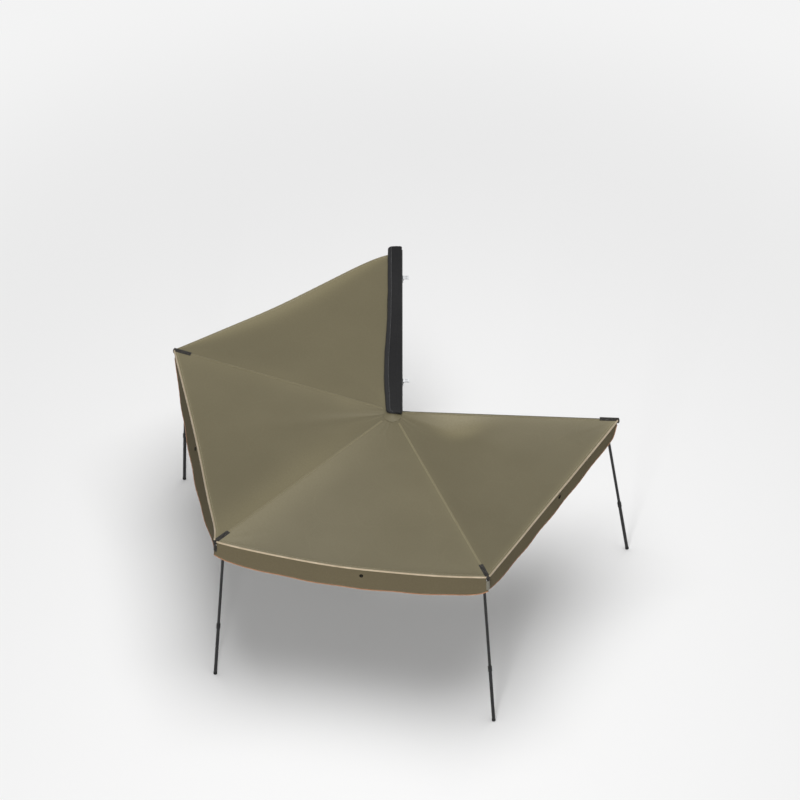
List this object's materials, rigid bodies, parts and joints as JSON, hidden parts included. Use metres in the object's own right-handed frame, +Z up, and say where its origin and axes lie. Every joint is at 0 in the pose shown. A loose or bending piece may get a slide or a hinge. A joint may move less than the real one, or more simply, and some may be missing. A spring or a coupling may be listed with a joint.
{
  "type": "vehicle side awning",
  "caption": "Fan awning for a vehicle's side: hinged arms swing out from a rail, carry a cloth canopy with valances, and stand on telescopic folding legs",
  "frame": {"origin": "middle of the rear mounting bracket's seat, the underside of its level leg", "axes": "+X the vehicle's right, towards the vehicle; +Y forward along the rail; +Z up"},
  "size_m": [4.5021, 4.7752, 1.8297],
  "materials": {
    "rail_coat": "satin",
    "arm_coat": "satin",
    "leg_coat": "satin",
    "yoke_coat": "satin",
    "bare_aluminium": "satin",
    "zinc_steel": "satin",
    "black_plastic": "matte",
    "canvas": "matte",
    "canvas_valance": "matte",
    "bag_cloth": "matte"
  },
  "bodies": {
    "root": {"base_rail": "rail_coat", "rail_end_cap": "black_plastic", "bracket_rear": "bare_aluminium", "bracket_front": "bare_aluminium", "bracket_bolt_1": "zinc_steel", "bracket_bolt_2": "zinc_steel", "bracket_bolt_3": "zinc_steel", "bracket_bolt_4": "zinc_steel", "pivot_yoke": "yoke_coat", "yoke_bolt_1": "zinc_steel", "yoke_bolt_2": "zinc_steel", "pivot_pin": "zinc_steel", "pivot_nut": "zinc_steel", "pivot_washer_1": "zinc_steel", "pivot_washer_2": "zinc_steel", "pivot_washer_3": "zinc_steel", "travel_bag": "bag_cloth"},
    "arm_1": {"arm_tube_1": "arm_coat", "hinge_plate_1": "yoke_coat", "arm_end_cap_1": "black_plastic", "leg_bracket_1": "black_plastic", "leg_pin_1": "zinc_steel", "canopy_panel_1": "canvas"},
    "leg_1": {"leg_upper_1": "leg_coat"},
    "leg_1_lower": {"leg_lower_1": "leg_coat", "foot_1": "black_plastic"},
    "leg_1_collar": {"lock_collar_1": "black_plastic"},
    "arm_2": {"arm_tube_2": "arm_coat", "hinge_plate_2": "yoke_coat", "arm_end_cap_2": "black_plastic", "leg_bracket_2": "black_plastic", "leg_pin_2": "zinc_steel", "canopy_panel_2": "canvas", "valance_2": "canvas_valance"},
    "leg_2": {"leg_upper_2": "leg_coat"},
    "leg_2_lower": {"leg_lower_2": "leg_coat", "foot_2": "black_plastic"},
    "leg_2_collar": {"lock_collar_2": "black_plastic"},
    "arm_3": {"arm_tube_3": "arm_coat", "hinge_plate_3": "yoke_coat", "arm_end_cap_3": "black_plastic", "leg_bracket_3": "black_plastic", "leg_pin_3": "zinc_steel", "canopy_panel_3": "canvas", "valance_3": "canvas_valance"},
    "leg_3": {"leg_upper_3": "leg_coat"},
    "leg_3_lower": {"leg_lower_3": "leg_coat", "foot_3": "black_plastic"},
    "leg_3_collar": {"lock_collar_3": "black_plastic"},
    "arm_4": {"arm_tube_4": "arm_coat", "hinge_plate_4": "yoke_coat", "arm_end_cap_4": "black_plastic", "leg_bracket_4": "black_plastic", "leg_pin_4": "zinc_steel", "canopy_panel_4": "canvas", "valance_4": "canvas_valance"},
    "leg_4": {"leg_upper_4": "leg_coat"},
    "leg_4_lower": {"leg_lower_4": "leg_coat", "foot_4": "black_plastic"},
    "leg_4_collar": {"lock_collar_4": "black_plastic"}
  },
  "joints": [
    {"name": "arm_1_swing", "type": "hinge", "parent": "root", "child": "arm_1", "pos_m": [-0.1323, -0.51, 0], "axis": [0, 0, -1], "range_deg": [0, 68], "deforming": ["canopy_panel_1"]},
    {"name": "leg_1_fold", "type": "hinge", "parent": "arm_1", "child": "leg_1", "pos_m": [-2.16354, 0.37539, -0.042], "axis": [-0.3746, -0.9272, 0], "range_deg": [0, 92.6]},
    {"name": "leg_1_slide", "type": "slide", "parent": "leg_1", "child": "leg_1_lower", "axis": [0.0421, -0.017, 0.999], "range_m": [0, 0.43]},
    {"name": "leg_1_lock", "type": "hinge", "parent": "leg_1_lower", "child": "leg_1_collar", "pos_m": [-2.16354, 0.37539, -0.042], "axis": [0.0421, -0.017, 0.999], "range_deg": [0, 90]},
    {"name": "arm_2_swing", "type": "hinge", "parent": "arm_1", "child": "arm_2", "pos_m": [-0.1323, -0.51, 0], "axis": [0, 0, -1], "range_deg": [0, 68], "deforming": ["canopy_panel_2", "valance_2"]},
    {"name": "leg_2_fold", "type": "hinge", "parent": "arm_2", "child": "leg_2", "pos_m": [-1.71314, -2.11822, -0.042], "axis": [0.7193, -0.6947, 0], "range_deg": [0, 96.2]},
    {"name": "leg_2_slide", "type": "slide", "parent": "leg_2", "child": "leg_2_lower", "axis": [0.075, 0.0777, 0.9942], "range_m": [0, 0.43]},
    {"name": "leg_2_lock", "type": "hinge", "parent": "leg_2_lower", "child": "leg_2_collar", "pos_m": [-1.71314, -2.11822, -0.042], "axis": [0.075, 0.0777, 0.9942], "range_deg": [0, 90]},
    {"name": "arm_3_swing", "type": "hinge", "parent": "arm_2", "child": "arm_3", "pos_m": [-0.1323, -0.51, 0], "axis": [0, 0, -1], "range_deg": [0, 66], "deforming": ["canopy_panel_3", "valance_3"]},
    {"name": "leg_3_fold", "type": "hinge", "parent": "arm_3", "child": "leg_3", "pos_m": [0.71787, -2.56086, -0.042], "axis": [0.9272, 0.3746, 0], "range_deg": [0, 100.6]},
    {"name": "leg_3_slide", "type": "slide", "parent": "leg_3", "child": "leg_3_lower", "axis": [-0.0689, 0.1706, 0.9829], "range_m": [0, 0.43]},
    {"name": "leg_3_lock", "type": "hinge", "parent": "leg_3_lower", "child": "leg_3_collar", "pos_m": [0.71787, -2.56086, -0.042], "axis": [-0.0689, 0.1706, 0.9829], "range_deg": [0, 90]},
    {"name": "arm_4_swing", "type": "hinge", "parent": "arm_3", "child": "arm_4", "pos_m": [-0.1323, -0.51, 0], "axis": [0, 0, -1], "range_deg": [0, 65], "deforming": ["canopy_panel_4", "valance_4"]},
    {"name": "leg_4_fold", "type": "hinge", "parent": "arm_4", "child": "leg_4", "pos_m": [1.93001, -0.558, -0.042], "axis": [0.0523, 0.9986, 0], "range_deg": [0, 98.9]},
    {"name": "leg_4_slide", "type": "slide", "parent": "leg_4", "child": "leg_4_lower", "axis": [-0.1545, 0.0081, 0.988], "range_m": [0, 0.43]},
    {"name": "leg_4_lock", "type": "hinge", "parent": "leg_4_lower", "child": "leg_4_collar", "pos_m": [1.93001, -0.558, -0.042], "axis": [-0.1545, 0.0081, 0.988], "range_deg": [0, 90]}
  ]
}
